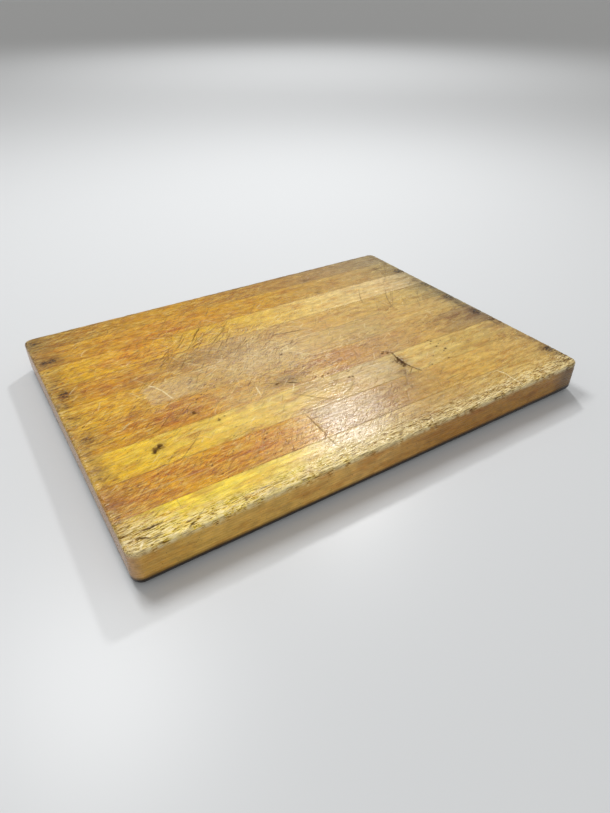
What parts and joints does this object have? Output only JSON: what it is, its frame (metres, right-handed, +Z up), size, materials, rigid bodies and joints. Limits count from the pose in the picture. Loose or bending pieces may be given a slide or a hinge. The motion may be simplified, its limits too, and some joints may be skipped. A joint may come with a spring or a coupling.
{
  "type": "chopping board",
  "caption": "Worn edge-grain butcher-block chopping board: hardwood staves glued side by side into one thick rectangular slab with rounded corners and eased edges.",
  "frame": {"origin": "the middle of the underside, on the surface that the board lies on", "axes": "+X along the grain and the long side, +Y from the front stave to the back stave, +Z up to the worktop"},
  "size_m": [0.508, 0.374, 0.0381],
  "materials": {
    "pale_maple": "oiled, knife-scarred, pale honey",
    "amber_maple": "oiled, knife-scarred, amber",
    "greyed_maple": "worn dry, greyed and knife-scarred",
    "golden_maple": "oiled, knife-scarred, golden",
    "brown_maple": "oiled, knife-scarred, brown",
    "glue_film": "cured wood glue, darkened by oil"
  },
  "bodies": {
    "root": {"front_stave": "pale_maple", "stave_2": "amber_maple", "stave_3": "pale_maple", "stave_4": "amber_maple", "stave_5": "greyed_maple", "stave_6": "greyed_maple", "stave_7": "golden_maple", "stave_8": "brown_maple", "back_stave": "brown_maple", "glue_line_1": "glue_film", "glue_line_2": "glue_film", "glue_line_3": "glue_film", "glue_line_4": "glue_film", "glue_line_5": "glue_film", "glue_line_6": "glue_film", "glue_line_7": "glue_film", "glue_line_8": "glue_film"}
  },
  "joints": []
}
